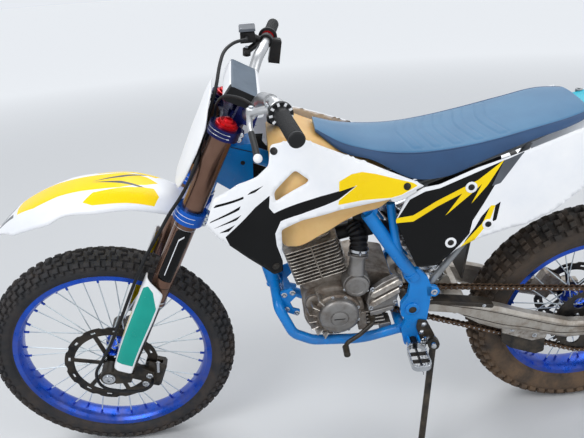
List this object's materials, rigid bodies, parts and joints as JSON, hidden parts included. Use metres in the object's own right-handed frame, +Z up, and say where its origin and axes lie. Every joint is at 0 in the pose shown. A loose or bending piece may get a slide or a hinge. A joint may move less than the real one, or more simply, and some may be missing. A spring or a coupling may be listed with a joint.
{
  "type": "dirt bike",
  "caption": "Trail motorcycle with wire wheels, upside-down fork, open engine, long seat and high fenders, parked leaning on its side stand.",
  "frame": {"origin": "middle of the box around the parked motorcycle, on the ground", "axes": "-X is ahead, where the front wheel points; +Y is the rider's right; +Z is up. The motorcycle leans 11 degrees to -Y, its left, onto the side stand."},
  "size_m": [2.0497, 0.7993, 1.205],
  "materials": {
    "black_plastic": "moulded black",
    "brushed_alloy": "brushed",
    "cast_alloy": "cast, dusty",
    "chain_steel": "dull brown steel",
    "clamp_blue": "bright blue anodised",
    "clamp_dark": "dark blue anodised",
    "dark_steel": "blackened steel",
    "foam_cover": "slate and black cover",
    "fork_bronze": "bronze anodised",
    "frame_blue": "gloss azure paint",
    "hub_blue": "anodised blue with bright steel spokes",
    "rim_blue": "anodised blue",
    "rubber": "black rubber",
    "seat_vinyl": "blue vinyl cover",
    "steel": "satin steel",
    "tan_plastic": "translucent natural tank plastic",
    "tyre": "moulded rubber with dried dirt",
    "white_plastic": "moulded white"
  },
  "bodies": {
    "chassis": {"frame": "frame_blue", "subframe": "brushed_alloy", "swingarm": "brushed_alloy", "shock": "steel", "crankcase": "cast_alloy", "cylinder": "cast_alloy", "starter": "cast_alloy", "sprocket_cover": "cast_alloy", "carburettor": "rubber", "header_pipe": "steel", "muffler": "brushed_alloy", "fuel_tank": "tan_plastic", "fuel_cap": "black_plastic", "shroud_left": "white_plastic", "shroud_right": "white_plastic", "side_panel_left": "black_plastic", "side_panel_right": "black_plastic", "airbox": "black_plastic", "seat": "seat_vinyl", "rear_fender": "white_plastic", "footpegs": "dark_steel", "gear_lever": "dark_steel", "brake_pedal": "dark_steel", "chain": "chain_steel", "chain_guide": "black_plastic", "rear_axle": "steel", "rear_caliper": "cast_alloy"},
    "fork": {"upper_clamp": "clamp_dark", "lower_clamp": "clamp_blue", "fork_tubes": "fork_bronze", "fork_sliders": "cast_alloy", "fork_guards": "white_plastic", "front_axle": "steel", "front_fender": "white_plastic", "front_plate": "white_plastic", "handlebar": "brushed_alloy", "bar_pad": "foam_cover", "grips": "rubber", "clutch_lever": "brushed_alloy", "brake_lever": "dark_steel", "front_caliper": "cast_alloy", "brake_hose": "rubber", "clutch_cable": "rubber"},
    "front_wheel": {"front_tyre": "tyre", "front_rim": "rim_blue", "front_hub": "hub_blue", "front_disc": "dark_steel"},
    "rear_wheel": {"rear_tyre": "tyre", "rear_rim": "rim_blue", "rear_hub": "hub_blue", "rear_sprocket": "dark_steel", "rear_disc": "dark_steel"},
    "side_stand": {"side_stand": "dark_steel"}
  },
  "joints": [
    {"name": "steering", "type": "hinge", "parent": "chassis", "child": "fork", "pos_m": [-0.33801, 0.04599, 0.87464], "axis": [0.454, -0.17, 0.8746], "range_deg": [-40, 40]},
    {"name": "front_wheel_spin", "type": "hinge", "parent": "fork", "child": "front_wheel", "pos_m": [-0.682, 0.14999, 0.33958], "axis": [0, 0.9816, 0.1908], "continuous": true},
    {"name": "rear_wheel_spin", "type": "hinge", "parent": "chassis", "child": "rear_wheel", "pos_m": [0.688, 0.15109, 0.33395], "axis": [0, 0.9816, 0.1908], "continuous": true},
    {"name": "stand_fold", "type": "hinge", "parent": "chassis", "child": "side_stand", "pos_m": [0.208, -0.00451, 0.34832], "axis": [-0.1323, -0.9773, 0.1653], "range_deg": [0, 100]}
  ]
}
